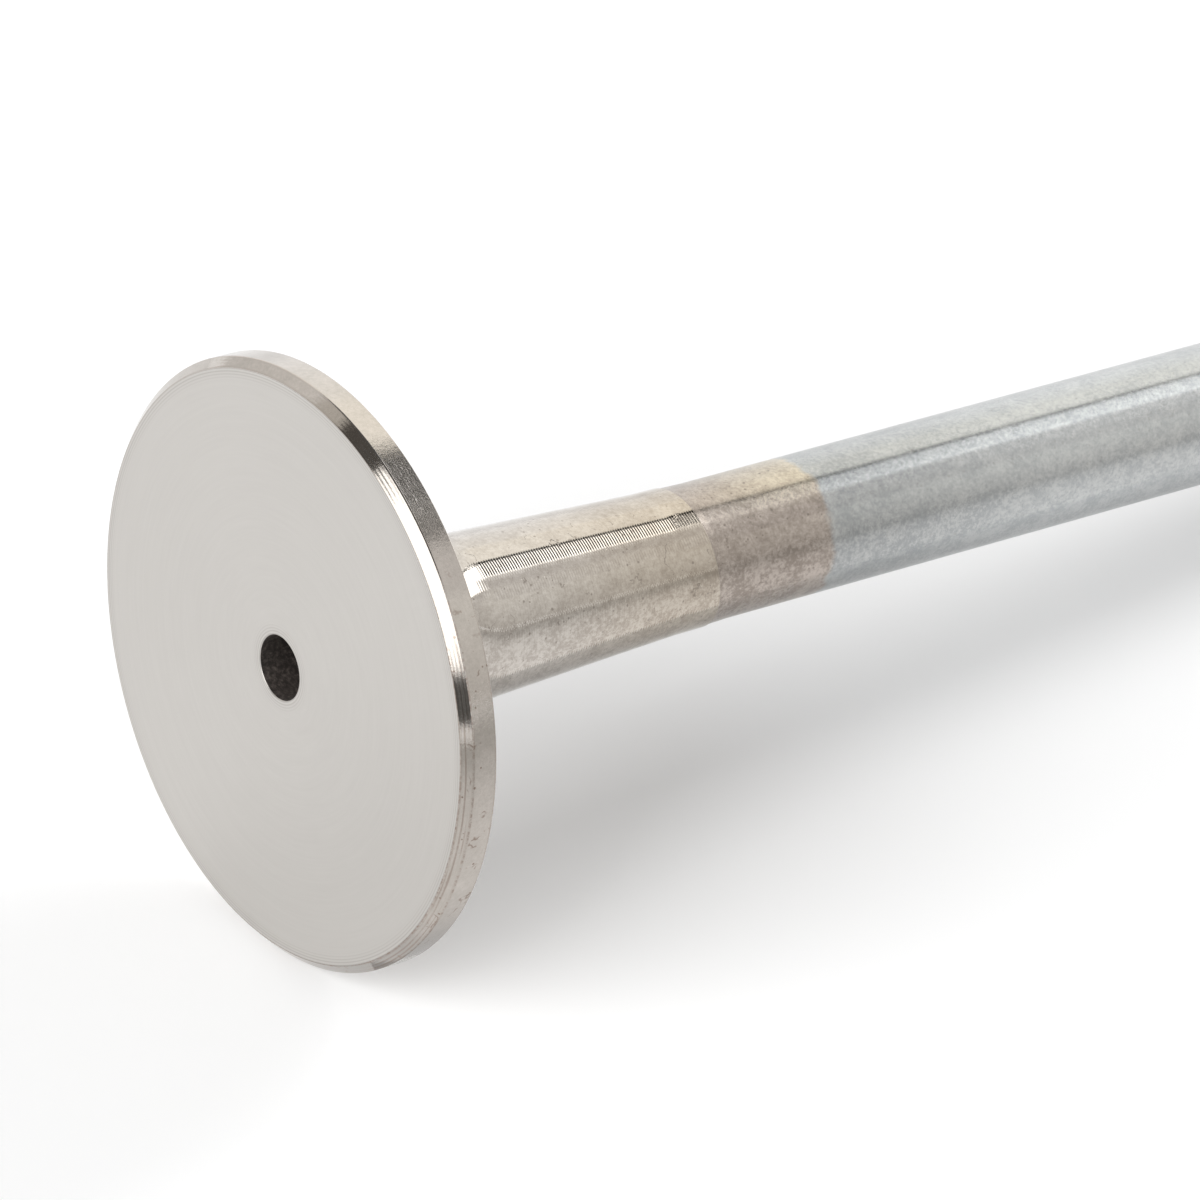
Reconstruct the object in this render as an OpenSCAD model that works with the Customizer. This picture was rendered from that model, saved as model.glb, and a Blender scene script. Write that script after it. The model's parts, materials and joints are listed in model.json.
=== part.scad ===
// Engine valve, standing on its combustion face with the stem upward
// The origin is the centre of the face, and the valve's axis is +Z

/* [Head] */
// Diameter of the head over its margin
head_d = 52; // [48:0.5:58]
// Height of the margin's back edge over the face
margin_h = 3; // [2:0.1:4.5]
// Leg of the small chamfer between the face and the margin
rim_chamfer = 0.8; // [0.3:0.1:1.5]

/* [Seat and underhead] */
// Angle between the seat and the face
seat_angle = 30; // [20:1:35]
// Width of the seat along its slope
seat_w = 4.2; // [3:0.1:5]
// Angle between the underhead cone and the face
underhead_angle = 15; // [8:1:20]
// Height over the face at which the fillet runs into the neck
fillet_top_z = 17.5; // [15.5:0.1:20]

/* [Neck] */
// Length of the turned, tapered neck above the fillet
neck_l = 22.8; // [18:0.1:28]
// Half angle of the neck's taper
neck_taper = 2.6; // [1:0.1:4]
// Height by which the neck's small end stands proud of the ground stem
neck_step = 0.2; // [0.1:0.05:0.5]
// Length of the run-out from the neck down to the ground stem
runout_l = 2.9; // [1:0.1:5]

/* [Stem] */
// Diameter of the ground stem
stem_d = 12; // [10:0.5:14]
// Length of the valve from the face to the tip
overall_l = 160; // [120:1:200]
// Length of ground stem that belongs to the head's forging, up to the weld
stub_l = 9.8; // [5:0.1:20]

/* [Keeper groove] */
// Distance from the tip to the middle of the groove
groove_from_tip = 7; // [5:0.1:12]
// Radius of the groove's round root
groove_round_r = 2.2; // [1.5:0.1:2.8]
// Depth of the groove below the stem's surface
groove_depth = 1.3; // [0.8:0.1:1.5]

/* [Tip] */
// Leg of the chamfer round the tip
tip_chamfer = 1; // [0.4:0.1:1.5]

/* [Centre hole] */
// Diameter of the blind hole in the middle of the face
hole_d = 5.6; // [3:0.1:7]
// Depth of the hole's straight wall
hole_depth = 6; // [4:0.1:9]
// Full angle of the drilled point at the bottom of the hole
drill_point_angle = 118; // [90:1:140]

/* [Hidden] */

$fn = 128;

// Overrun of a cut past the surface that it opens
cut_over = 0.1;

head_r = head_d / 2;
stem_r = stem_d / 2;
hole_r = hole_d / 2;

// The seat rises inward from the margin's back edge
seat_in_r = head_r - seat_w * cos(seat_angle);
seat_in_z = margin_h + seat_w * sin(seat_angle);

// The neck narrows from the fillet to a small step above the ground stem
neck_end_r = stem_r + neck_step;
neck_root_r = neck_end_r + neck_l * tan(neck_taper);
neck_end_z = fillet_top_z + neck_l;
stem_start_z = neck_end_z + runout_l;
weld_z = stem_start_z + stub_l;

// One radius is tangent to the neck at the fillet's top and to the underhead cone
fillet_r = ((neck_root_r - seat_in_r) * sin(underhead_angle)
    + (fillet_top_z - seat_in_z) * cos(underhead_angle)) / (1 - sin(underhead_angle + neck_taper));
fillet_centre = [neck_root_r + fillet_r * cos(neck_taper), fillet_top_z + fillet_r * sin(neck_taper)];
fillet_foot = fillet_centre - fillet_r * [sin(underhead_angle), cos(underhead_angle)];

// The drilled point is a cone on the hole's own radius
drill_point_l = hole_r / tan(drill_point_angle / 2);

// Half section of the head, filled out to the fillet's centre
module head_blank_section() {
    polygon([
        [0, 0],
        [head_r - rim_chamfer, 0],
        [head_r, rim_chamfer],
        [head_r, margin_h],
        [seat_in_r, seat_in_z],
        fillet_foot,
        fillet_centre,
        [neck_root_r, fillet_top_z],
        [neck_end_r, neck_end_z],
        [stem_r, stem_start_z],
        [stem_r, weld_z],
        [0, weld_z],
    ]);
}

// Half section of the head with the round fillet cut between disc and neck
module head_section() {
    difference() {
        head_blank_section();
        translate(fillet_centre) circle(r = fillet_r);
    }
}

// Half section of the stem, with the chamfered tip and the keeper groove
module stem_section() {
    difference() {
        polygon([
            [0, weld_z],
            [stem_r, weld_z],
            [stem_r, overall_l - tip_chamfer],
            [stem_r - tip_chamfer, overall_l],
            [0, overall_l],
        ]);
        translate([stem_r - groove_depth + groove_round_r, overall_l - groove_from_tip])
            circle(r = groove_round_r);
    }
}

// Blind centre hole with its drilled point
module centre_hole() {
    translate([0, 0, -cut_over]) cylinder(r = hole_r, h = hole_depth + cut_over);
    translate([0, 0, hole_depth]) cylinder(r1 = hole_r, r2 = 0, h = drill_point_l);
}

// Disc, seat, underhead and neck in one forging, up to the weld
module valve_head() {
    color([0.62, 0.58, 0.54])
        difference() {
            rotate_extrude() head_section();
            centre_hole();
        }
}

// Ground stem from the weld to the tip
module valve_stem() {
    color([0.55, 0.56, 0.58])
        rotate_extrude() stem_section();
}

valve_head();
valve_stem();
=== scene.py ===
# Engine valve: turned head and neck, ground stem, in a white studio
import json
from math import acos, atan2, ceil, cos, degrees, hypot, pi, radians, sin, tan

import bpy
from mathutils import Matrix, Vector


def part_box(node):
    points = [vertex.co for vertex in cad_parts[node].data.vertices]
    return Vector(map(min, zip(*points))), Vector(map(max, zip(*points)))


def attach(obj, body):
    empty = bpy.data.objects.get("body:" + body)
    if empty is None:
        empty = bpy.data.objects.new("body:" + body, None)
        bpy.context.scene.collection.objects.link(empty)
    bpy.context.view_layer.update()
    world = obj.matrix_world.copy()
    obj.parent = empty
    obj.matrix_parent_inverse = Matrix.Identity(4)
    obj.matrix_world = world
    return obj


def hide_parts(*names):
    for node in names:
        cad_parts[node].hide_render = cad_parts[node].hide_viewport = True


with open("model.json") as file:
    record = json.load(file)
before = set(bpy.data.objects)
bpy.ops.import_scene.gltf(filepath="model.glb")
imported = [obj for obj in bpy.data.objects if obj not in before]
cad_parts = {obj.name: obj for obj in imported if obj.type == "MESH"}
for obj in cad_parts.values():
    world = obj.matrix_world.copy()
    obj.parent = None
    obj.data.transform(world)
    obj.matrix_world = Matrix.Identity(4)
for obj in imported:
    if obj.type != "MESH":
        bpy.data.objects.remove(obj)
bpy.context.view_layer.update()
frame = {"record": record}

MM = 0.001

# Sizes that the frame gives
MOUNTS = {mount["name"]: mount for mount in frame["record"]["mounts"]}
HEAD_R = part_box("valve_head")[1].x
WELD_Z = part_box("valve_head")[1].z
OVERALL_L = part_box("valve_stem")[1].z
STEM_R = MOUNTS["stem"]["dims"]["r_mm"] * MM
HOLE_R = MOUNTS["centre_hole"]["dims"]["r_mm"] * MM
HOLE_DEPTH = MOUNTS["centre_hole"]["dims"]["length_mm"] * MM
GROOVE_Z = MOUNTS["keeper_groove"]["pos_m"][2]

# Sizes of the profile, the same as in the part's source
RIM_CHAMFER = 0.8 * MM
MARGIN_H = 3 * MM
SEAT_ANGLE = radians(30)
SEAT_W = 4.2 * MM
UNDERHEAD_ANGLE = radians(15)
FILLET_TOP_Z = 17.5 * MM
NECK_L = 22.8 * MM
NECK_TAPER = radians(2.6)
NECK_STEP = 0.2 * MM
RUNOUT_L = 2.9 * MM
GROOVE_ROUND_R = 2.2 * MM
GROOVE_DEPTH = 1.3 * MM
TIP_CHAMFER = 1 * MM
DRILL_POINT_ANGLE = radians(118)

# Small rounds that machining leaves on the edges
FINE_ROUND = 0.05 * MM
SOFT_ROUND = 0.12 * MM
RIM_ROUND = 0.22 * MM
HOLE_BREAK = 0.06 * MM

# Fineness of the turned meshes
TURN_STEPS = 360
HEAD_ROW_SPACING = 0.8 * MM
STEM_ROW_SPACING = 2 * MM
ARC_STEP = radians(6)
SHARP_ANGLE = radians(25)

# The neck ends in a short land with a thin broken lip, and the grind past it makes its end run askew
NECK_LAND_L = 2.7 * MM
NECK_LAND_FALL = 0.014 * MM
LIP_BREAK = 0.07 * MM
RUNOUT_FALL_L = 0.7 * MM
RUNOUT_FALL_R = 0.06 * MM
NECK_SKEW = 1.2 * MM
NECK_SKEW_SPAN = 9 * MM
NECK_SKEW_ANGLE = radians(110)

# Pitch of the turned rings on each face, and of the finer grinding lines
TURNING_FEED = 0.2617 * MM
FACE_FEED = 0.25 * MM
RIM_FEED = 0.33 * MM
GRINDING_PITCH = 0.11 * MM

# The photograph's camera: focal length and face centre in its pixels, and the face's depth in metres
PHOTO_SIDE_PX = 1200
FOCAL_PX = 9654.4
FACE_CENTRE_PX = (279.5, 667.9)
FACE_DEPTH = 0.79137
SENSOR_W_MM = 36
CAMERA_CLIP = (0.05, 20)

# The valve lies on the floor in the photograph, on its rim and its tip
LOOK_DOWN = radians(34.06)
STEM_TURN = radians(36.14)
LEAN_AZIMUTH = radians(-45)
FLOOR_REACH = 2.5

# Features per metre of the fine grain and of the larger mottling
GRAIN_SCALE = 2600
MOTTLE_SCALE = 500

# Turn round the axis to the stained side of the rim, its side with painted shade, the lower side and the
# yellow side
STAINED_SIDE = radians(75)
RIM_SHADE_SIDE = radians(98)
UNDER_SIDE = radians(60)
YELLOW_SIDE = radians(-55)

# Where those sides fade out, as cosines of the angle from them
STAIN_FADE = (0.0, 0.7)
RIM_SHADE_FADE = (0.88, 0.98)
UNDER_FADE = (0.7, 0.95)
YELLOW_FADE = (0.6, 0.95)

# Reach of the face's faint rings, of the weld's heat above and below it, and of the neck's smooth root
RINGED_L = 1.3 * MM
HEATED_L = 28 * MM
YELLOW_L = 14 * MM
ROOT_SMOOTH_L = 2.5 * MM

# Heights between which the neck's skin turns warmer
NECK_WARM_Z = (20 * MM, 38 * MM)

# Half width of the brown stain along the rim's edges
EDGE_STAIN_W = 0.16 * MM

# Half width of the weld's change of colour, and how far it wavers
WELD_FADE = 0.4 * MM
WELD_WAVER = 2 * MM

# How often the tools' lines change round the axis
TURNED_LINES = 2.5
RIM_LINES = 3.0
SEAT_LINES = 4.0
GROUND_LINES = 6.0

# Depth of each relief
RING_DEPTH = 0.002 * MM
CHAMFER_RING_DEPTH = 0.0006 * MM
MARGIN_RING_DEPTH = 0.0005 * MM
LINE_DEPTH = 0.001 * MM
FACE_LINE_DEPTH = 0.0008 * MM
RIM_LINE_DEPTH = 0.004 * MM
GROUND_LINE_DEPTH = 0.0006 * MM
NECK_GRAIN_DEPTH = 0.0012 * MM
CHAMFER_GRAIN_DEPTH = 0.003 * MM
MARGIN_GRAIN_DEPTH = 0.014 * MM
GROUND_GRAIN_DEPTH = 0.005 * MM
HOLE_GRAIN_DEPTH = 0.02 * MM
MOTTLE_DEPTH = 0.002 * MM
CRACK_DEPTH = -0.01 * MM

# Roughness of each finish, and how far the grain swings it
FACE_ROUGHNESS = 0.42
RIM_ROUGHNESS = 0.1
SEAT_ROUGHNESS = 0.18
UNDERHEAD_ROUGHNESS = 0.18
NECK_ROUGHNESS = 0.07
NECK_ROUGHNESS_SWING = 0.6
GROUND_ROUGHNESS = 0.22
GROUND_ROUGHNESS_SWING = 0.06
LIP_ROUGHNESS = 0.3
HOLE_EDGE_ROUGHNESS = 0.4
HOLE_ROUGHNESS = 0.55
GROOVE_ROUGHNESS = 0.25
TIP_ROUGHNESS = 0.22

# How far each finish's lay stretches its highlights, and the turn that sets the lay round the axis
PLAIN_LAY = 0.3
RIM_LAY = 0.4
NECK_LAY = 0.5
GROUND_LAY = 0.85
LAY_TURN = 0.25

# Share of the grain in each skin's tone, with mottle for the rest, and the tone's contrast, with extra
# contrast painted on the lower side for the uneven floor and dark edge it reflects
SKIN_GRAIN_SHARE = 0.65
RIM_GRAIN_SHARE = 0.6
EDGE_GRAIN_SHARE = 0.7
NECK_CONTRAST = 1.9
GROUND_CONTRAST = 2.2
RIM_CONTRAST = 1.8
NECK_UNDER_GAIN = 1.0
GROUND_UNDER_GAIN = 0.7

# Pits as cells per metre and size in cells, how rare large ones are, and how crisp their edges are
SKIN_PITS = (2000, 0.3)
RIM_PITS = (1900, 0.3)
PIT_RARITY = 3.0
PIT_CRISPNESS = 4

# Hair marks as features per metre, width and amount, and the noise levels between which they show
NECK_HAIRS = (420, 0.012, 0.05)
GROUND_HAIRS = (420, 0.012, 0.06)
RIM_HAIRS = (380, 0.02, 0.05)
HAIR_LEVELS = (0.62, 0.7)
HAIR_PATCH_SCALE = 1.7

# Strength of the marks on each skin, and of the painted shade on the rim's side by its contact
NECK_PIT_STRENGTH = 0.5
NECK_HAIR_STRENGTH = 0.6
GROUND_MARK_STRENGTH = 0.55
RIM_SHADE_STRENGTH = 0.6
CHAMFER_RIDGES = 0.6
MARGIN_RIDGES = 0.0

# The brown ridges mix lines, rings and grain, and show between two levels of that mix
RIDGE_MIX = (0.7, 0.09, 0.35)
RIDGE_LEVELS = (0.5, 0.68)

# Levels between which the edge stain shows, and the middle and swing of its strength by side
EDGE_LEVELS = (0.4, 0.62)
EDGE_SPREAD = (0.65, 0.35)

# Middle and swing of the face's faint rings, and levels between which the hole's specks show
FACE_RING_SPREAD = (0.6, 0.5)
SPECK_LEVELS = (0.4, 0.85)

# How much smoother the skin is past the weld, and the middle and swing of its grain
COOL_SMOOTHNESS = 0.75
GROUND_GRAIN_SPREAD = (0.8, 0.4)

# Metal colours, linear
FACE_LIGHT = (0.6, 0.58, 0.553, 1)
FACE_DARK = (0.562, 0.542, 0.516, 1)
FACE_RING = (0.47, 0.445, 0.42, 1)
RIM_LIGHT = (0.55, 0.51, 0.475, 1)
RIM_DARK = (0.46, 0.43, 0.395, 1)
RIM_STAIN = (0.26, 0.20, 0.165, 1)
# Painted shade: grey for the rim's side that reflects the shaded floor by its contact
RIM_PAINTED_SHADE = (0.28, 0.27, 0.26, 1)
NECK_LIGHT = (0.595, 0.56, 0.52, 1)
NECK_DARK = (0.43, 0.395, 0.36, 1)
NECK_END_LIGHT = (0.55, 0.498, 0.432, 1)
NECK_END_DARK = (0.39, 0.34, 0.285, 1)
SKIN_STAIN = (0.16, 0.13, 0.11, 1)
WARM_LIGHT = (0.46, 0.41, 0.37, 1)
WARM_DARK = (0.29, 0.25, 0.22, 1)
YELLOW_LIGHT = (0.6, 0.545, 0.445, 1)
YELLOW_DARK = (0.42, 0.37, 0.3, 1)
HEATED_LIGHT = (0.46, 0.47, 0.467, 1)
HEATED_DARK = (0.33, 0.344, 0.35, 1)
COOL_LIGHT = (0.54, 0.553, 0.553, 1)
COOL_DARK = (0.41, 0.427, 0.435, 1)
HOLE_DARK = (0.035, 0.029, 0.026, 1)
HOLE_SPECK = (0.2, 0.17, 0.15, 1)

# Light levels of the floor, the world and the lamps, where 1 is white
WHITE = (1, 1, 1, 1)
FLOOR_COLOUR = (0.8, 0.8, 0.8, 1)
FLOOR_LIFT = 0.17
FILL_LEVEL = 0.5
KEY_RADIANCE = 6.0
BACK_RADIANCE = 5.0

# Tones of the cards, where 1 is white
GLOW = (2.8, 2.8, 2.75)
SHEEN = (2.0, 2.03, 2.06)
DARK_TONE = (0.025, 0.025, 0.025)
FRAME_TONE = (0.4, 0.39, 0.38)
SHADE_TONE = (0.15, 0.15, 0.147)
CEILING_TONE = (0.14, 0.14, 0.14)
BACKDROP_LOW_TONE = (1.26, 1.27, 1.28)
BACKDROP_TONE = (1.45, 1.41, 1.31)
SIDE_LOW_TONE = (0.84, 0.82, 0.79)
SIDE_TONE = (0.88, 0.86, 0.84)
SIDE_NEAR_TONE = (1.15, 1.14, 1.12)
# Painted shade: a dark band low by the horizon, seen only in reflections
HORIZON_SHADE_TONE = (0.6, 0.59, 0.57)
RIGHT_LOW_TONE = (0.74, 0.72, 0.69)
RIGHT_TONE = (1.14, 1.13, 1.09)
LEFT_LOW_TONE = (0.86, 0.85, 0.83)
LEFT_TONE = (1.0, 0.98, 0.95)
LEFT_SHADE_TONE = (0.74, 0.71, 0.66)
LEFT_FLAG_TONE = (0.12, 0.11, 0.1)
# Painted floor shadow that only reflections see, by the rim's contact and along the stem
FOOT_SHADOW_TONE = (0.62, 0.61, 0.6)
FOOT_SHADOW_END_TONE = (1.0, 0.99, 0.98)
FLOOR_NEAR_TONE = (1.08, 1.07, 1.06)
FLOOR_SHADE_TONE = (0.62, 0.61, 0.59)
FLOOR_FAR_TONE = (0.68, 0.67, 0.65)

# Middle of the lit region, on the neck, and the distances of the lamps and cards from it
AIM = Vector((0, 0, 30 * MM))
STUDIO_R = 6
INNER_R = 5.9
SHEEN_R = 5.8
NEAR_R = 0.25

# Largest step of a card's mesh, in degrees or millimetres, and the floor cards' gap to the floor
CARD_STEP = 4
CARD_GAP_MM = 1

# Where the softboxes stand, in degrees
KEY_AZIMUTHS = (-160, -102)
KEY_GLOW_AZIMUTHS = (-160, -108.5)
KEY_ELEVATIONS = (13, 49)
KEY_LAMP_ELEVATIONS = (16, 50)
BACK_AZIMUTHS = (36, 62)
BACK_ELEVATIONS = (12, 46)


def lying_tilt():
    """Angle between the valve's axis and the floor under its rim and tip."""
    return atan2(HEAD_R - STEM_R, OVERALL_L - TIP_CHAMFER - MARGIN_H)


def studio_axes():
    """The photograph's right, away and up directions, in the valve's frame."""
    tilt = lying_tilt()
    lean = Vector((cos(LEAN_AZIMUTH), sin(LEAN_AZIMUTH), 0))
    axis = Vector((0, 0, 1))
    up = lean * cos(tilt) - axis * sin(tilt)
    along = (axis + up * sin(tilt)) / cos(tilt)
    across = up.cross(along)
    right = along * cos(STEM_TURN) - across * sin(STEM_TURN)
    return right, up.cross(right), up


RIGHT, AWAY, UP = studio_axes()


# Profiles


def line_points(start, end, spacing):
    """Points from start up to, but without, end, with one close to each end to keep the edge crisp."""
    length = (end - start).length
    count = max(1, ceil(length / spacing))
    shares = {step / count for step in range(count)}
    if length > 4 * FINE_ROUND:
        shares |= {FINE_ROUND / length, 1 - FINE_ROUND / length}
    return [start.lerp(end, share) for share in sorted(shares)]


def bend_points(before, corner, after, radius):
    """Points of an arc of that radius, tangent to the two lines that meet at a corner."""
    if not radius:
        return [corner]
    back, ahead = (before - corner).normalized(), (after - corner).normalized()
    turn = pi - back.angle(ahead)
    reach = radius * tan(turn / 2)
    centre = corner + (back + ahead).normalized() * hypot(reach, radius)
    first, last = corner + back * reach - centre, corner + ahead * reach - centre
    count = max(3, ceil(turn / ARC_STEP))
    points = []
    for step in range(count + 1):
        angle = turn * step / count
        points.append(centre + (first * sin(turn - angle) + last * sin(angle)) / sin(turn))
    return points


def trace(corners, spacing):
    """Turn (r, z, round radius, finish of the stretch that follows) corners into mesh rows."""
    places = [Vector(corner[:2]) for corner in corners]
    bends = [[places[0]]]
    for index in range(1, len(corners) - 1):
        bends.append(bend_points(*places[index - 1:index + 2], corners[index][2]))
    bends.append([places[-1]])
    rows = []
    for index, (bend, corner) in enumerate(zip(bends, corners)):
        points = bend[:-1]
        if index < len(corners) - 1:
            points += line_points(bend[-1], bends[index + 1][0], spacing)
        rows += [(point, corner[3]) for point in points]
    return rows + [(places[-1], corners[-1][3])]


def no_skew(height, angle):
    """A true turned form has no skew."""
    return 0.0


def neck_skew(height, angle):
    """Shift along the axis that sets the neck's end askew."""
    fade = max(0.0, 1 - abs(height - FILLET_TOP_Z - NECK_L) / NECK_SKEW_SPAN)
    return NECK_SKEW * fade * ((1 + cos(angle - NECK_SKEW_ANGLE)) / 2) ** 2


def lathe(name, rows, materials, skew=no_skew):
    """Spin rows of (point, finish) round the axis into a closed, smooth mesh."""
    finishes = list(materials)
    verts, faces, face_finish, runs = [], [], [], []
    rings, run = [], 0.0
    for index, (point, _) in enumerate(rows):
        if index:
            run += (point - rows[index - 1][0]).length
        on_axis = point.x < FINE_ROUND / 100
        first = len(verts)
        count = 1 if on_axis else TURN_STEPS
        for step in range(count):
            angle = 2 * pi * step / TURN_STEPS
            verts.append((point.x * cos(angle), point.x * sin(angle), point.y + skew(point.y, angle)))
            runs.append(run)
        rings.append([first + (0 if on_axis else step) for step in range(TURN_STEPS)])
    for index in range(len(rings) - 1):
        low, high = rings[index], rings[index + 1]
        for step in range(TURN_STEPS):
            after = (step + 1) % TURN_STEPS
            loop = [low[step], low[after], high[after], high[step]]
            faces.append(list(dict.fromkeys(loop)))
            face_finish.append(finishes.index(rows[index][1]))
    mesh = bpy.data.meshes.new(name)
    mesh.from_pydata(verts, [], faces)
    for finish in finishes:
        mesh.materials.append(materials[finish])
    mesh.polygons.foreach_set("material_index", face_finish)
    mesh.polygons.foreach_set("use_smooth", [True] * len(faces))
    mesh.attributes.new("run", "FLOAT", "POINT").data.foreach_set("value", runs)
    mesh.update()
    mesh.set_sharp_from_angle(angle=SHARP_ANGLE)
    piece = bpy.data.objects.new(name, mesh)
    bpy.context.scene.collection.objects.link(piece)
    return piece


def head_corners():
    """Corners of the head's half section, from the hole's bottom round to the weld."""
    seat_r = HEAD_R - SEAT_W * cos(SEAT_ANGLE)
    seat_z = MARGIN_H + SEAT_W * sin(SEAT_ANGLE)
    neck_end_r = STEM_R + NECK_STEP
    neck_end_z = FILLET_TOP_Z + NECK_L
    neck_root_r = neck_end_r + NECK_L * tan(NECK_TAPER)
    # The fillet is the round of the corner where the underhead and neck lines meet
    slope, flare = tan(UNDERHEAD_ANGLE), tan(NECK_TAPER)
    corner_z = (seat_z + (seat_r - neck_root_r - FILLET_TOP_Z * flare) * slope) / (1 - flare * slope)
    corner_r = neck_root_r + (FILLET_TOP_Z - corner_z) * flare
    fillet_turn = pi / 2 - UNDERHEAD_ANGLE - NECK_TAPER
    fillet_r = (FILLET_TOP_Z - corner_z) / cos(NECK_TAPER) / tan(fillet_turn / 2)
    drill_point_l = HOLE_R / tan(DRILL_POINT_ANGLE / 2)
    return [
        (0, HOLE_DEPTH + drill_point_l, 0, "hole"),
        (HOLE_R, HOLE_DEPTH, FINE_ROUND, "hole"),
        (HOLE_R, HOLE_BREAK, 0, "edge"),
        (HOLE_R + HOLE_BREAK, 0, 0, "face"),
        (HEAD_R - RIM_CHAMFER, 0, SOFT_ROUND, "chamfer"),
        (HEAD_R, RIM_CHAMFER, RIM_ROUND, "margin"),
        (HEAD_R, MARGIN_H, FINE_ROUND, "seat"),
        (seat_r, seat_z, SOFT_ROUND, "underhead"),
        (corner_r, corner_z, fillet_r, "neck"),
        (neck_end_r + NECK_LAND_FALL, neck_end_z - NECK_LAND_L, NECK_LAND_L, "neck"),
        (neck_end_r - NECK_LAND_FALL, neck_end_z - LIP_BREAK, 0, "lip"),
        (neck_end_r - NECK_LAND_FALL - LIP_BREAK, neck_end_z, 0, "ground"),
        (STEM_R + RUNOUT_FALL_R, neck_end_z + RUNOUT_FALL_L, RUNOUT_FALL_L * 2, "ground"),
        (STEM_R, neck_end_z + RUNOUT_L, RUNOUT_L * 8, "ground"),
        (STEM_R, WELD_Z, 0, "ground"),
        (0, WELD_Z, 0, "ground"),
    ]


def groove_rows():
    """Rows of the keeper groove's round root, from its lower edge to its upper edge."""
    half_angle = acos((GROOVE_ROUND_R - GROOVE_DEPTH) / GROOVE_ROUND_R)
    centre = Vector((STEM_R - GROOVE_DEPTH + GROOVE_ROUND_R, GROOVE_Z))
    count = ceil(2 * half_angle / ARC_STEP)
    rows = []
    for step in range(count + 1):
        angle = (2 * step / count - 1) * half_angle
        rows.append((centre + GROOVE_ROUND_R * Vector((-cos(angle), sin(angle))), "groove"))
    return rows


def stem_rows():
    """Rows of the stem from the weld, past the keeper groove, to the tip."""
    groove = groove_rows()
    shank = trace([
        (0, WELD_Z, 0, "ground"),
        (STEM_R, WELD_Z, 0, "ground"),
        (*groove[0][0], 0, "groove"),
    ], STEM_ROW_SPACING)
    collar = trace([
        (*groove[-1][0], 0, "ground"),
        (STEM_R, OVERALL_L - TIP_CHAMFER, SOFT_ROUND, "tip"),
        (STEM_R - TIP_CHAMFER, OVERALL_L, SOFT_ROUND, "tip"),
        (0, OVERALL_L, 0, "tip"),
    ], STEM_ROW_SPACING)
    return shank[:-1] + groove[:-1] + collar


# Material nodes


def add_node(tree, kind, inputs=None, **settings):
    """Add a shader node, set its properties, and set or link its inputs."""
    made = tree.nodes.new(kind)
    for key, value in settings.items():
        setattr(made, key, value)
    for key, value in (inputs or {}).items():
        if isinstance(value, bpy.types.NodeSocket):
            tree.links.new(value, made.inputs[key])
        else:
            made.inputs[key].default_value = value
    return made


def math_node(tree, operation, first, second=0.0, clamp=False):
    """One Math node's result."""
    return add_node(tree, "ShaderNodeMath", {0: first, 1: second}, operation=operation,
                    use_clamp=clamp).outputs[0]


def blend_colours(tree, share, low, high):
    """A mix of two colours by a share from 0 to 1."""
    mix = add_node(tree, "ShaderNodeMix", {"Factor": share, "A": low, "B": high}, data_type="RGBA")
    return mix.outputs["Result"]


def noise(tree, place, scale, detail=2.0, roughness=0.5):
    """Smooth noise from 0 to 1 at a scale in features per metre."""
    return add_node(tree, "ShaderNodeTexNoise", {
        "Vector": place, "Scale": scale, "Detail": detail, "Roughness": roughness,
    }).outputs["Fac"]


def run_length(tree):
    """Distance along the turned profile, in metres."""
    return add_node(tree, "ShaderNodeAttribute", attribute_name="run").outputs["Fac"]


def object_place(tree):
    """The point's place in the valve's own frame."""
    return add_node(tree, "ShaderNodeTexCoord").outputs["Object"]


def ring_wave(tree, pitch):
    """A wave of turned rings at that pitch, from -1 to 1."""
    turns = math_node(tree, "MULTIPLY", run_length(tree), 2 * pi / pitch)
    return math_node(tree, "SINE", turns)


def tool_lines(tree, pitch, reach):
    """Uneven lines left round the axis by a tool: fine along the profile, long round it."""
    place = add_node(tree, "ShaderNodeSeparateXYZ", {"Vector": object_place(tree)})
    angle = math_node(tree, "ARCTAN2", place.outputs["Y"], place.outputs["X"])
    stretched = add_node(tree, "ShaderNodeCombineXYZ", {
        "X": math_node(tree, "MULTIPLY", run_length(tree), 1 / pitch),
        "Y": math_node(tree, "MULTIPLY", math_node(tree, "COSINE", angle), reach),
        "Z": math_node(tree, "MULTIPLY", math_node(tree, "SINE", angle), reach),
    })
    return noise(tree, stretched.outputs["Vector"], 1.0, detail=3.0)


def new_material(name):
    """An empty node material and its tree."""
    material = bpy.data.materials.new(name)
    material.use_nodes = True
    material.node_tree.nodes.clear()
    return material, material.node_tree


def finish_metal(tree, colour, roughness, height, lay):
    """Join colour, roughness and height in metres into one metal, with its lay round the axis."""
    bump = add_node(tree, "ShaderNodeBump", {"Height": height, "Distance": 1.0, "Strength": 1.0})
    tangent = add_node(tree, "ShaderNodeTangent", direction_type="RADIAL", axis="Z")
    metal = add_node(tree, "ShaderNodeBsdfPrincipled", {
        "Base Color": colour,
        "Metallic": 1.0,
        "Roughness": roughness,
        "Anisotropic": lay,
        "Anisotropic Rotation": LAY_TURN,
        "Normal": bump.outputs["Normal"],
        "Tangent": tangent.outputs["Tangent"],
    })
    add_node(tree, "ShaderNodeOutputMaterial", {"Surface": metal.outputs["BSDF"]})


def relief(tree, *layers):
    """Sum of (pattern, depth) layers, in metres."""
    total = 0.0
    for pattern, depth in layers:
        total = math_node(tree, "ADD", math_node(tree, "MULTIPLY", pattern, depth), total)
    return total


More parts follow.
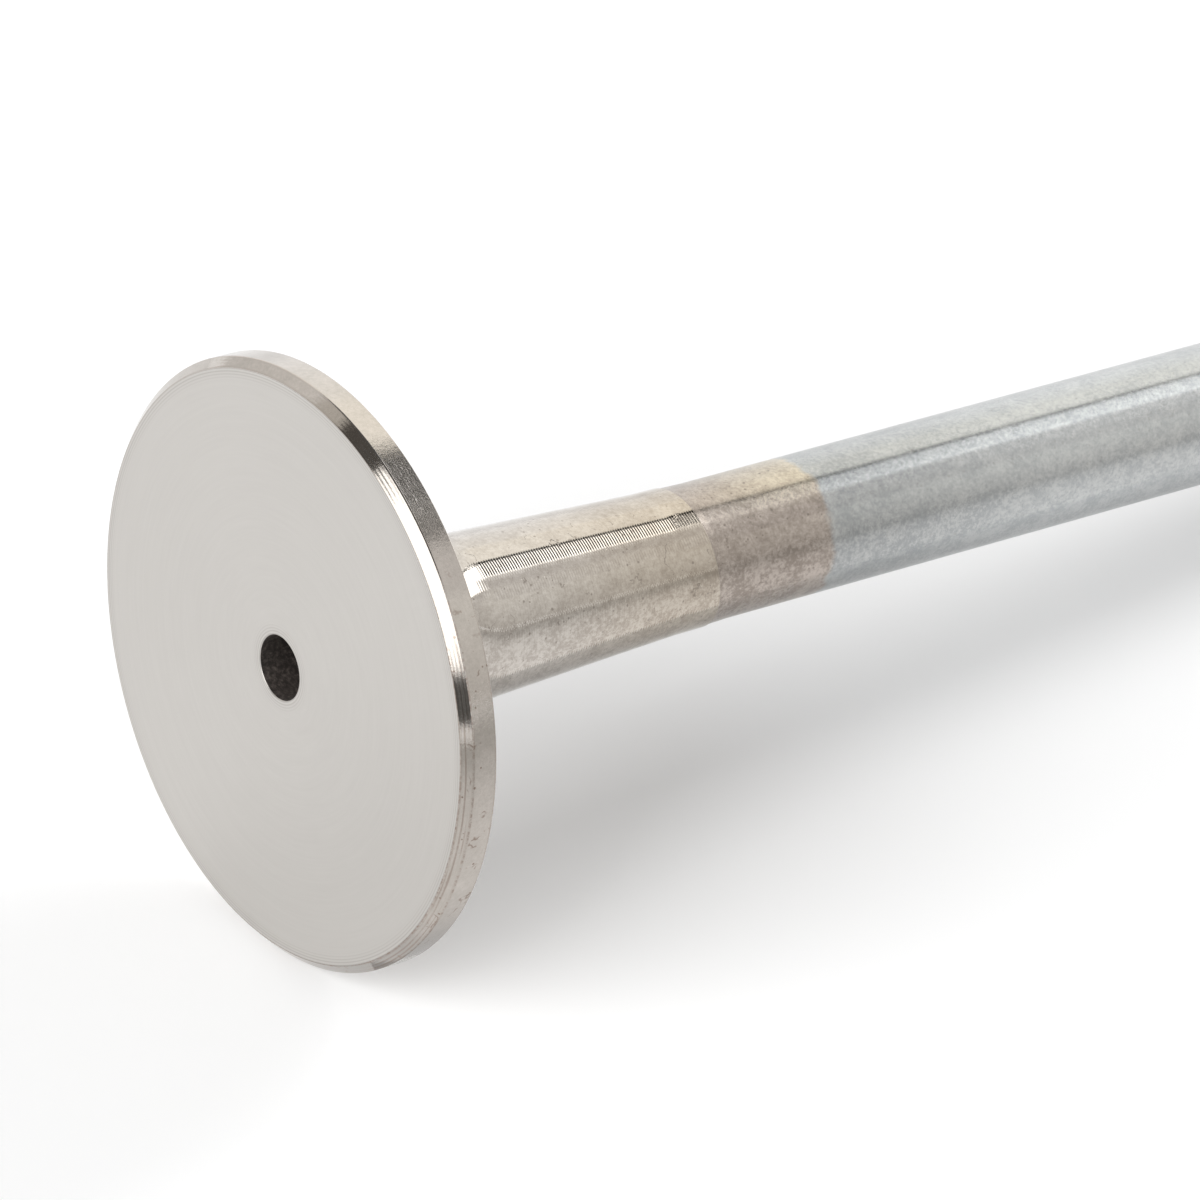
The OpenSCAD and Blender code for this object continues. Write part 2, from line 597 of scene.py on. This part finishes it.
def spread(tree, pattern, middle, swing, clamp=False):
    """A 0 to 1 pattern turned into values that swing about a middle."""
    offset = math_node(tree, "MULTIPLY", math_node(tree, "SUBTRACT", pattern, 0.5), 2.0)
    return math_node(tree, "ADD", math_node(tree, "MULTIPLY", offset, swing), middle, clamp)


def ramp(tree, value, start, end):
    """0 before start and 1 past end, with a smooth change between them."""
    return add_node(tree, "ShaderNodeMapRange", {
        "Value": value, "From Min": start, "From Max": end,
    }, interpolation_type="SMOOTHSTEP").outputs["Result"]


def height_on_axis(tree):
    """Height over the combustion face, in metres."""
    return add_node(tree, "ShaderNodeSeparateXYZ", {"Vector": object_place(tree)}).outputs["Z"]


def radius_from_axis(tree):
    """Distance from the valve's axis, in metres."""
    place = add_node(tree, "ShaderNodeSeparateXYZ", {"Vector": object_place(tree)})
    flat = add_node(tree, "ShaderNodeCombineXYZ", {"X": place.outputs["X"], "Y": place.outputs["Y"]})
    return add_node(tree, "ShaderNodeVectorMath", {0: flat.outputs["Vector"]},
                    operation="LENGTH").outputs["Value"]


def facing(tree, direction):
    """Cosine of the angle round the axis between the point and a direction."""
    place = add_node(tree, "ShaderNodeSeparateXYZ", {"Vector": object_place(tree)})
    angle = math_node(tree, "ARCTAN2", place.outputs["Y"], place.outputs["X"])
    return math_node(tree, "COSINE", math_node(tree, "SUBTRACT", angle, direction))


def near_height(tree, height, reach):
    """1 at a height on the axis, fading to 0 at that reach from it."""
    gap = math_node(tree, "ABSOLUTE", math_node(tree, "SUBTRACT", height_on_axis(tree), height))
    return math_node(tree, "SUBTRACT", 1.0, math_node(tree, "MULTIPLY", gap, 1 / reach), clamp=True)


# Painted reflection: the lower side's skin gets extra colour contrast for the uneven floor and dark edge
# it reflects
def underside_painted_contrast(tree, gain):
    """Extra contrast for the skin on the valve's lower side in the photograph."""
    lower = ramp(tree, facing(tree, UNDER_SIDE), *UNDER_FADE)
    return math_node(tree, "ADD", math_node(tree, "MULTIPLY", lower, gain), 1.0)


def pits(tree, scale, size):
    """Scattered small pits, 1 in their middles, at a scale in cells per metre."""
    cells = add_node(tree, "ShaderNodeTexVoronoi", {"Vector": object_place(tree), "Scale": scale})
    pick = add_node(tree, "ShaderNodeSeparateXYZ", {"Vector": cells.outputs["Color"]})
    reach = math_node(tree, "MULTIPLY", math_node(tree, "POWER", pick.outputs["X"], PIT_RARITY), size)
    inside = math_node(tree, "SUBTRACT", reach, cells.outputs["Distance"])
    return math_node(tree, "MULTIPLY", inside, PIT_CRISPNESS / size, clamp=True)


def hair_marks(tree, scale, width, amount):
    """Thin wandering marks, broken up so that only some of them show."""
    place = object_place(tree)
    swerve = math_node(tree, "SUBTRACT", noise(tree, place, scale, detail=3.0), 0.5)
    bend = math_node(tree, "ABSOLUTE", swerve)
    line = math_node(tree, "SUBTRACT", 1.0, math_node(tree, "DIVIDE", bend, width), clamp=True)
    patches = noise(tree, place, scale * HAIR_PATCH_SCALE)
    shown = ramp(tree, patches, HAIR_LEVELS[0] - amount, HAIR_LEVELS[1] - amount)
    return math_node(tree, "MULTIPLY", line, shown)


def stain_and_shade_blend(tree, colour, marks, stain):
    """A colour that marks turn towards a stain, and that the rim's painted shade turns towards grey."""
    return blend_colours(tree, marks, colour, stain)


def grain_pattern(tree):
    """Fine uneven grain of the metal's skin."""
    return noise(tree, object_place(tree), GRAIN_SCALE, detail=4.0, roughness=0.75)


def mottle_pattern(tree):
    """Soft patches a few millimetres wide."""
    return noise(tree, object_place(tree), MOTTLE_SCALE, detail=3.0, roughness=0.6)


def skin_mix(tree, grain, mottle, share):
    """That share of grain, with mottle for the rest."""
    return relief(tree, (grain, share), (mottle, 1 - share))


def face_metal():
    """Matt turned face, with faint rings round the hole and along the edge."""
    material, tree = new_material("turned_face")
    radius = radius_from_axis(tree)
    lines = tool_lines(tree, FACE_FEED, TURNED_LINES)
    near_hole = math_node(tree, "SUBTRACT", 1.0, ramp(tree, radius, HOLE_R, HOLE_R + RINGED_L))
    near_edge = ramp(tree, radius, HEAD_R - RIM_CHAMFER - RINGED_L, HEAD_R - RIM_CHAMFER)
    ringed = math_node(tree, "MAXIMUM", near_hole, near_edge)
    faint = spread(tree, ring_wave(tree, FACE_FEED), *FACE_RING_SPREAD)
    rings = math_node(tree, "MULTIPLY", ringed, faint)
    colour = blend_colours(tree, rings, blend_colours(tree, lines, FACE_DARK, FACE_LIGHT), FACE_RING)
    finish_metal(tree, colour, FACE_ROUGHNESS, relief(tree, (lines, FACE_LINE_DEPTH)), PLAIN_LAY)
    return material


def rim_metal(name, ring_depth, grain_depth, ridged):
    """Bright turned rim: brown ridges where told, stained edges, and pits and hair marks in places, with
    painted shade on one side.
    """
    material, tree = new_material(name)
    grain, mottle = grain_pattern(tree), mottle_pattern(tree)
    lines = tool_lines(tree, RIM_FEED, RIM_LINES)
    rings = ring_wave(tree, RIM_FEED)
    side = ramp(tree, facing(tree, STAINED_SIDE), *STAIN_FADE)
    tone = spread(tree, skin_mix(tree, grain, mottle, RIM_GRAIN_SHARE), 0.5, RIM_CONTRAST, True)
    # Painted shade: the rim's side that reflects the shaded floor by its contact turns grey
    painted_shade = math_node(tree, "MULTIPLY", ramp(tree, facing(tree, RIM_SHADE_SIDE), *RIM_SHADE_FADE), RIM_SHADE_STRENGTH)
    shaded_rim_tone = stain_and_shade_blend(tree, blend_colours(tree, tone, RIM_DARK, RIM_LIGHT), painted_shade, RIM_PAINTED_SHADE)
    ridges = ramp(tree, relief(tree, *zip((lines, rings, grain), RIDGE_MIX)), *RIDGE_LEVELS)
    ridges = math_node(tree, "MULTIPLY", math_node(tree, "MULTIPLY", ridges, side), ridged)
    edges = 0.0
    for height in (0.0, RIM_CHAMFER, MARGIN_H):
        edges = math_node(tree, "MAXIMUM", edges, near_height(tree, height, EDGE_STAIN_W))
    blotches = ramp(tree, skin_mix(tree, grain, mottle, EDGE_GRAIN_SHARE), *EDGE_LEVELS)
    edges = math_node(tree, "MULTIPLY", edges, blotches)
    edges = math_node(tree, "MULTIPLY", edges, spread(tree, side, *EDGE_SPREAD))
    specks = math_node(tree, "MULTIPLY", pits(tree, *RIM_PITS), side)
    cracks = math_node(tree, "MULTIPLY", hair_marks(tree, *RIM_HAIRS), side)
    marks = math_node(tree, "MAXIMUM", math_node(tree, "MAXIMUM", ridges, edges),
                      math_node(tree, "MAXIMUM", specks, cracks))
    colour = stain_and_shade_blend(tree, shaded_rim_tone, marks, RIM_STAIN)
    height = relief(tree, (rings, ring_depth), (lines, RIM_LINE_DEPTH), (grain, grain_depth))
    finish_metal(tree, colour, RIM_ROUGHNESS, height, RIM_LAY)
    return material


def seat_metal():
    """Ground seat, bright and even."""
    material, tree = new_material("ground_seat")
    lines = tool_lines(tree, GRINDING_PITCH, SEAT_LINES)
    colour = blend_colours(tree, lines, RIM_DARK, RIM_LIGHT)
    finish_metal(tree, colour, SEAT_ROUGHNESS, relief(tree, (lines, LINE_DEPTH)), RIM_LAY)
    return material


def neck_metal(name, roughness):
    """Turned neck with regular rings under a mottled and pitted skin."""
    material, tree = new_material(name)
    height_z = height_on_axis(tree)
    grain, mottle = grain_pattern(tree), mottle_pattern(tree)
    lines = tool_lines(tree, TURNING_FEED, TURNED_LINES)
    past_root = ramp(tree, height_z, FILLET_TOP_Z - ROOT_SMOOTH_L, FILLET_TOP_Z)
    rings = math_node(tree, "MULTIPLY", ring_wave(tree, TURNING_FEED), past_root)
    warmer = ramp(tree, height_z, *NECK_WARM_Z)
    light = blend_colours(tree, warmer, NECK_LIGHT, NECK_END_LIGHT)
    dark = blend_colours(tree, warmer, NECK_DARK, NECK_END_DARK)
    # Painted reflection: extra contrast on the lower side
    swing = math_node(tree, "MULTIPLY", underside_painted_contrast(tree, NECK_UNDER_GAIN), NECK_CONTRAST)
    tone = spread(tree, skin_mix(tree, grain, mottle, SKIN_GRAIN_SHARE), 0.5, swing, True)
    skin = blend_colours(tree, tone, dark, light)
    specks = math_node(tree, "MULTIPLY", pits(tree, *SKIN_PITS), NECK_PIT_STRENGTH)
    cracks = math_node(tree, "MULTIPLY", hair_marks(tree, *NECK_HAIRS), NECK_HAIR_STRENGTH)
    colour = stain_and_shade_blend(tree, skin, math_node(tree, "MAXIMUM", specks, cracks), SKIN_STAIN)
    height = relief(tree, (rings, RING_DEPTH), (lines, LINE_DEPTH), (grain, NECK_GRAIN_DEPTH),
                    (mottle, MOTTLE_DEPTH), (cracks, CRACK_DEPTH))
    uneven = spread(tree, grain, roughness, roughness * NECK_ROUGHNESS_SWING)
    finish_metal(tree, colour, uneven, height, NECK_LAY)
    return material


def ground_metal(name):
    """Ground steel, warm below the weld and bluish above it, with a fine mottled grain."""
    material, tree = new_material(name)
    height_z = height_on_axis(tree)
    grain, mottle = grain_pattern(tree), mottle_pattern(tree)
    waver = math_node(tree, "MULTIPLY", math_node(tree, "SUBTRACT", mottle, 0.5), WELD_WAVER)
    wavered_z = math_node(tree, "ADD", height_z, waver)
    past_weld = ramp(tree, wavered_z, WELD_Z - WELD_FADE, WELD_Z + WELD_FADE)
    past_heat = ramp(tree, height_z, WELD_Z, WELD_Z + HEATED_L)
    # Painted reflection: extra contrast on the lower side
    swing = math_node(tree, "MULTIPLY", underside_painted_contrast(tree, GROUND_UNDER_GAIN), GROUND_CONTRAST)
    tone = spread(tree, skin_mix(tree, grain, mottle, SKIN_GRAIN_SHARE), 0.5, swing, True)
    tint = math_node(tree, "MULTIPLY", ramp(tree, facing(tree, YELLOW_SIDE), *YELLOW_FADE),
                     ramp(tree, height_z, WELD_Z - YELLOW_L, WELD_Z))
    warm_light = blend_colours(tree, tint, WARM_LIGHT, YELLOW_LIGHT)
    warm_dark = blend_colours(tree, tint, WARM_DARK, YELLOW_DARK)
    warm = blend_colours(tree, tone, warm_dark, warm_light)
    heated = blend_colours(tree, tone, HEATED_DARK, HEATED_LIGHT)
    cool = blend_colours(tree, tone, COOL_DARK, COOL_LIGHT)
    skin = blend_colours(tree, past_weld, warm, blend_colours(tree, past_heat, heated, cool))
    smoother = math_node(tree, "MULTIPLY", past_weld, COOL_SMOOTHNESS)
    rough_skin = math_node(tree, "SUBTRACT", 1.0, smoother)
    specks = math_node(tree, "MULTIPLY", pits(tree, *SKIN_PITS), rough_skin)
    cracks = math_node(tree, "MULTIPLY", hair_marks(tree, *GROUND_HAIRS), rough_skin)
    marks = math_node(tree, "MULTIPLY", math_node(tree, "MAXIMUM", specks, cracks), GROUND_MARK_STRENGTH)
    colour = stain_and_shade_blend(tree, skin, marks, SKIN_STAIN)
    lines = tool_lines(tree, GRINDING_PITCH, GROUND_LINES)
    rough_grain = math_node(tree, "MULTIPLY", grain, spread(tree, rough_skin, *GROUND_GRAIN_SPREAD))
    height = relief(tree, (lines, GROUND_LINE_DEPTH), (rough_grain, GROUND_GRAIN_DEPTH),
                    (mottle, MOTTLE_DEPTH), (cracks, CRACK_DEPTH))
    uneven = spread(tree, grain, GROUND_ROUGHNESS, GROUND_ROUGHNESS_SWING)
    finish_metal(tree, colour, uneven, height, GROUND_LAY)
    return material


def end_metal(name, roughness, dark, light):
    """Plain turned or ground metal of the edges, the groove and the tip."""
    material, tree = new_material(name)
    lines = tool_lines(tree, GRINDING_PITCH, RIM_LINES)
    colour = blend_colours(tree, lines, dark, light)
    finish_metal(tree, colour, roughness, relief(tree, (lines, LINE_DEPTH)), PLAIN_LAY)
    return material


def dark_hole_wall():
    """Dark matt wall of the drilled hole, with faint specks."""
    material, tree = new_material("drilled_hole")
    specks = grain_pattern(tree)
    colour = blend_colours(tree, ramp(tree, specks, *SPECK_LEVELS), HOLE_DARK, HOLE_SPECK)
    height = relief(tree, (specks, HOLE_GRAIN_DEPTH))
    bump = add_node(tree, "ShaderNodeBump", {"Height": height, "Distance": 1.0})
    wall_bsdf = add_node(tree, "ShaderNodeBsdfPrincipled", {
        "Base Color": colour,
        "Roughness": HOLE_ROUGHNESS,
        "Normal": bump.outputs["Normal"],
    })
    add_node(tree, "ShaderNodeOutputMaterial", {"Surface": wall_bsdf.outputs["BSDF"]})
    return material


def head_materials():
    """Finish of each stretch of the head's profile."""
    return {
        "hole": dark_hole_wall(),
        "edge": end_metal("hole_edge", HOLE_EDGE_ROUGHNESS, FACE_RING, FACE_LIGHT),
        "face": face_metal(),
        "chamfer": rim_metal("turned_chamfer", CHAMFER_RING_DEPTH, CHAMFER_GRAIN_DEPTH, CHAMFER_RIDGES),
        "margin": rim_metal("turned_margin", MARGIN_RING_DEPTH, MARGIN_GRAIN_DEPTH, MARGIN_RIDGES),
        "seat": seat_metal(),
        "underhead": neck_metal("turned_underhead", UNDERHEAD_ROUGHNESS),
        "neck": neck_metal("turned_neck", NECK_ROUGHNESS),
        "lip": end_metal("neck_lip", LIP_ROUGHNESS, NECK_END_LIGHT, NECK_LIGHT),
        "ground": ground_metal("ground_stub"),
    }


def stem_materials():
    """Finish of each stretch of the stem's profile."""
    return {
        "ground": ground_metal("ground_stem"),
        "groove": end_metal("turned_groove", GROOVE_ROUGHNESS, COOL_DARK, COOL_LIGHT),
        "tip": end_metal("ground_tip", TIP_ROUGHNESS, COOL_DARK, COOL_LIGHT),
    }


def make_valve():
    """Both pieces of the valve, each riding on the one body and standing for its node."""
    head_rows = trace(head_corners(), HEAD_ROW_SPACING)
    head = lathe("turned_valve_head", head_rows, head_materials(), neck_skew)
    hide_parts("valve_head")
    stem = lathe("ground_valve_stem", stem_rows(), stem_materials())
    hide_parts("valve_stem")
    for piece in (head, stem):
        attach(piece, "root")


# Studio


def studio_direction(azimuth, elevation):
    """Direction in the photograph's room: azimuth from straight away towards the right."""
    azimuth, elevation = radians(azimuth), radians(elevation)
    level = AWAY * cos(azimuth) + RIGHT * sin(azimuth)
    return level * cos(elevation) + UP * sin(elevation)


def stem_direction(turn, opening):
    """Direction by the turn round the valve's axis, from its upper side, and the angle from the stem."""
    turn, opening = radians(turn) + LEAN_AZIMUTH, radians(opening)
    return Vector((cos(turn) * sin(opening), sin(turn) * sin(opening), cos(opening)))


def floor_drop():
    """Height of the studio's middle over the floor that the rim and the tip lie on."""
    touch = Vector((cos(LEAN_AZIMUTH), sin(LEAN_AZIMUTH), 0)) * -HEAD_R + Vector((0, 0, MARGIN_H))
    return (AIM - touch).dot(UP)


def over_floor(along, out):
    """Place just over the floor, in millimetres along the stem and out to its lower right."""
    stem_azimuth = 90 - degrees(STEM_TURN)
    level = studio_direction(stem_azimuth, 0) * along + studio_direction(stem_azimuth + 90, 0) * out
    return level + UP * (CARD_GAP_MM - floor_drop() / MM)


def facing_matrix(azimuth, elevation, distance):
    """Place that looks back at the valve along its own -Z, with the photograph's up."""
    back = studio_direction(azimuth, elevation)
    side = UP.cross(back).normalized()
    turn = Matrix((side, back.cross(side), back)).transposed().to_4x4()
    turn.translation = AIM + back * distance
    return turn


def lamp(name, azimuths, elevations, radiance):
    """A soft lamp that spans those azimuths and elevations in degrees."""
    azimuth, elevation = sum(azimuths) / 2, sum(elevations) / 2
    wide = radians(azimuths[1] - azimuths[0]) * cos(radians(elevation))
    high = radians(elevations[1] - elevations[0])
    light = bpy.data.lights.new(name, "AREA")
    light.shape = "RECTANGLE"
    light.size = 2 * STUDIO_R * tan(wide / 2)
    light.size_y = 2 * STUDIO_R * tan(high / 2)
    light.energy = radiance * pi * light.size * light.size_y
    lit = bpy.data.objects.new(name, light)
    lit.matrix_world = facing_matrix(azimuth, elevation, STUDIO_R)
    lit.visible_camera = False
    lit.visible_glossy = False
    bpy.context.scene.collection.objects.link(lit)


def card(name, columns_span, levels_span, low_tone, high_tone=None, distance=STUDIO_R,
         aim=studio_direction):
    """A curved studio card that only reflections see, toned along its levels."""
    material, tree = new_material(name + "_cloth")
    tone = (*low_tone, 1)
    if high_tone:
        rise = add_node(tree, "ShaderNodeAttribute", attribute_name="rise").outputs["Fac"]
        tone = blend_colours(tree, rise, tone, (*high_tone, 1))
    cloth = add_node(tree, "ShaderNodeEmission", {"Color": tone, "Strength": 1.0})
    add_node(tree, "ShaderNodeOutputMaterial", {"Surface": cloth.outputs["Emission"]})
    columns = ceil((columns_span[1] - columns_span[0]) / CARD_STEP)
    levels = ceil((levels_span[1] - levels_span[0]) / CARD_STEP)
    verts, rises, faces = [], [], []
    for level in range(levels + 1):
        for column in range(columns + 1):
            across = columns_span[0] + (columns_span[1] - columns_span[0]) * column / columns
            up = levels_span[0] + (levels_span[1] - levels_span[0]) * level / levels
            verts.append(AIM + aim(across, up) * distance)
            rises.append(level / levels)
            if level and column:
                here = len(verts) - 1
                faces.append((here - 1, here, here - columns - 1, here - columns - 2))
    mesh = bpy.data.meshes.new(name)
    mesh.from_pydata(verts, [], faces)
    mesh.attributes.new("rise", "FLOAT", "POINT").data.foreach_set("value", rises)
    mesh.materials.append(material)
    sheet = bpy.data.objects.new(name, mesh)
    sheet.visible_camera = False
    sheet.visible_diffuse = False
    sheet.visible_shadow = False
    sheet.visible_transmission = False
    bpy.context.scene.collection.objects.link(sheet)


def stem_card(name, turns, openings, tone, distance=INNER_R):
    """An even card placed by turns round the valve's axis and angles from the stem."""
    card(name, turns, openings, tone, distance=distance, aim=stem_direction)


def floor_shadow_card(name, along, out, near_tone, far_tone):
    """A card that lies over the floor, in millimetres, toned outwards from the stem: painted floor
    shadow that only reflections see.
    """
    card(name, along, out, near_tone, far_tone, distance=MM, aim=over_floor)


def seen_directly(tree):
    """1 for camera, glossy and transmission rays, and 0 for the rest."""
    path = add_node(tree, "ShaderNodeLightPath")
    mirrored = math_node(tree, "ADD", path.outputs["Is Glossy Ray"], path.outputs["Is Transmission Ray"])
    return math_node(tree, "ADD", path.outputs["Is Camera Ray"], mirrored, clamp=True)


def floor_material():
    """Pale matt floor that keeps the shadow, and can be seen through from below."""
    material, tree = new_material("pale_floor")
    paint = add_node(tree, "ShaderNodeBsdfDiffuse", {"Color": FLOOR_COLOUR})
    lift = add_node(tree, "ShaderNodeEmission", {
        "Color": WHITE,
        "Strength": math_node(tree, "MULTIPLY", seen_directly(tree), FLOOR_LIFT),
    })
    front = add_node(tree, "ShaderNodeAddShader", {0: paint.outputs[0], 1: lift.outputs[0]})
    clear = add_node(tree, "ShaderNodeBsdfTransparent")
    below = add_node(tree, "ShaderNodeNewGeometry").outputs["Backfacing"]
    both = add_node(tree, "ShaderNodeMixShader", {0: below, 1: front.outputs[0], 2: clear.outputs[0]})
    add_node(tree, "ShaderNodeOutputMaterial", {"Surface": both.outputs[0]})
    return material


def make_floor():
    """The floor that the valve's rim and tip lie on in the photograph."""
    middle = AIM - UP * floor_drop()
    mesh = bpy.data.meshes.new("floor")
    corners = [middle + RIGHT * x * FLOOR_REACH + AWAY * y * FLOOR_REACH
               for x, y in ((-1, -1), (1, -1), (1, 1), (-1, 1))]
    mesh.from_pydata(corners, [], [(0, 1, 2, 3)])
    mesh.materials.append(floor_material())
    floor = bpy.data.objects.new("floor", mesh)
    bpy.context.scene.collection.objects.link(floor)


def make_world():
    """A white room to look at, and a softer fill for what it lights."""
    world = bpy.data.worlds.new("white_room")
    bpy.context.scene.world = world
    world.use_nodes = True
    tree = world.node_tree
    tree.nodes.clear()
    fill = add_node(tree, "ShaderNodeBackground", {"Color": WHITE, "Strength": FILL_LEVEL})
    white = add_node(tree, "ShaderNodeBackground", {"Color": WHITE, "Strength": 1.0})
    both = add_node(tree, "ShaderNodeMixShader", {
        0: seen_directly(tree), 1: fill.outputs[0], 2: white.outputs[0],
    })
    add_node(tree, "ShaderNodeOutputWorld", {"Surface": both.outputs[0]})


def make_lights():
    """Two softboxes: lamps for what is matt, and glowing cards for what the metal reflects."""
    lamp("key_softbox", KEY_AZIMUTHS, KEY_LAMP_ELEVATIONS, KEY_RADIANCE)
    lamp("back_softbox", BACK_AZIMUTHS, BACK_ELEVATIONS, BACK_RADIANCE)
    card("key_glow", KEY_GLOW_AZIMUTHS, KEY_ELEVATIONS, GLOW)
    stem_card("back_glow", (-16, 8), (5, 50.6), GLOW)
    stem_card("root_glow", (8, 24), (5, 42), GLOW)
    stem_card("back_frame", (-16, 8), (50.6, 53.5), FRAME_TONE)
    stem_card("back_frame_top", (-16, 8), (53.5, 66), DARK_TONE)
    stem_card("back_edge", (-18.8, -16), (5, 52.5), DARK_TONE)
    stem_card("back_sheen", (-10, 14), (59, 74), SHEEN, SHEEN_R)


def make_cards():
    """Cards for the dark, grey and pale stretches that the rim, the neck and the stem reflect."""
    card("ceiling", (-180, 180), (50, 90), CEILING_TONE)
    card("backdrop", (-41, 45), (-1, 50), BACKDROP_LOW_TONE, BACKDROP_TONE)
    stem_card("backdrop_top", (-45, -18.8), (50, 75), BACKDROP_TONE)
    stem_card("backdrop_end", (-18.8, -16), (52.5, 75), BACKDROP_TONE)
    card("side_card", (45, 78), (-1, 50), SIDE_LOW_TONE, SIDE_TONE)
    stem_card("side_top", (16, 45), (52.5, 75), SIDE_TONE)
    stem_card("side_top_near", (8, 16), (52.5, 75), SIDE_NEAR_TONE)
    card("right_card", (78, 125), (-1.5, 43), RIGHT_LOW_TONE, RIGHT_TONE)
    # Painted shade: a dark band by the horizon where the floor's shadow falls, seen only in reflections
    card("low_card", (75, 135), (-5, -1), HORIZON_SHADE_TONE, RIGHT_LOW_TONE, distance=NEAR_R)
    # Painted shadow of the valve on the floor, by the rim's contact and along the stem, seen only in
    # reflections
    floor_shadow_card("floor_foot", (-33, -16), (14, 30), FOOT_SHADOW_TONE, FOOT_SHADOW_END_TONE)
    floor_shadow_card("floor_side", (-33, -16), (30, 130), FOOT_SHADOW_END_TONE, FLOOR_SHADE_TONE)
    floor_shadow_card("floor_shade", (-16, 400), (14, 130), FLOOR_NEAR_TONE, FLOOR_SHADE_TONE)
    floor_shadow_card("floor_front", (-300, -33), (14, 130), FLOOR_NEAR_TONE, FLOOR_SHADE_TONE)
    floor_shadow_card("floor_far", (-300, 400), (130, 500), FLOOR_SHADE_TONE, FLOOR_FAR_TONE)
    card("right_flag", (78, 125), (43, 50), DARK_TONE)
    stem_card("rim_flag", (-12.5, 26), (63, 69.5), SHADE_TONE, NEAR_R)
    card("left_card", (-70, -41), (-1, 39), LEFT_LOW_TONE, LEFT_TONE)
    card("left_shade", (-83, -70), (20, 50), LEFT_SHADE_TONE)
    card("left_flag", (-108.5, -83), (30, 50), LEFT_FLAG_TONE)
    card("camera_flag", (-180, -150), (-1, 12), SHADE_TONE)


def make_camera():
    """The photograph's camera, placed from where it sees the centre of the face."""
    forward = AWAY * cos(LOOK_DOWN) - UP * sin(LOOK_DOWN)
    top = RIGHT.cross(forward)
    middle_px = PHOTO_SIDE_PX / 2
    face = (forward + RIGHT * ((FACE_CENTRE_PX[0] - middle_px) / FOCAL_PX)
            - top * ((FACE_CENTRE_PX[1] - middle_px) / FOCAL_PX)) * FACE_DEPTH
    lens = bpy.data.cameras.new("photo_camera")
    lens.sensor_width = SENSOR_W_MM
    lens.lens = FOCAL_PX / PHOTO_SIDE_PX * SENSOR_W_MM
    lens.clip_start, lens.clip_end = CAMERA_CLIP
    camera = bpy.data.objects.new("photo_camera", lens)
    turn = Matrix((RIGHT, top, -forward)).transposed().to_4x4()
    turn.translation = -face
    camera.matrix_world = turn
    bpy.context.scene.collection.objects.link(camera)
    bpy.context.scene.camera = camera


bpy.context.scene.view_settings.view_transform = "Standard"
make_camera()
make_floor()
make_world()
make_lights()
make_cards()
make_valve()
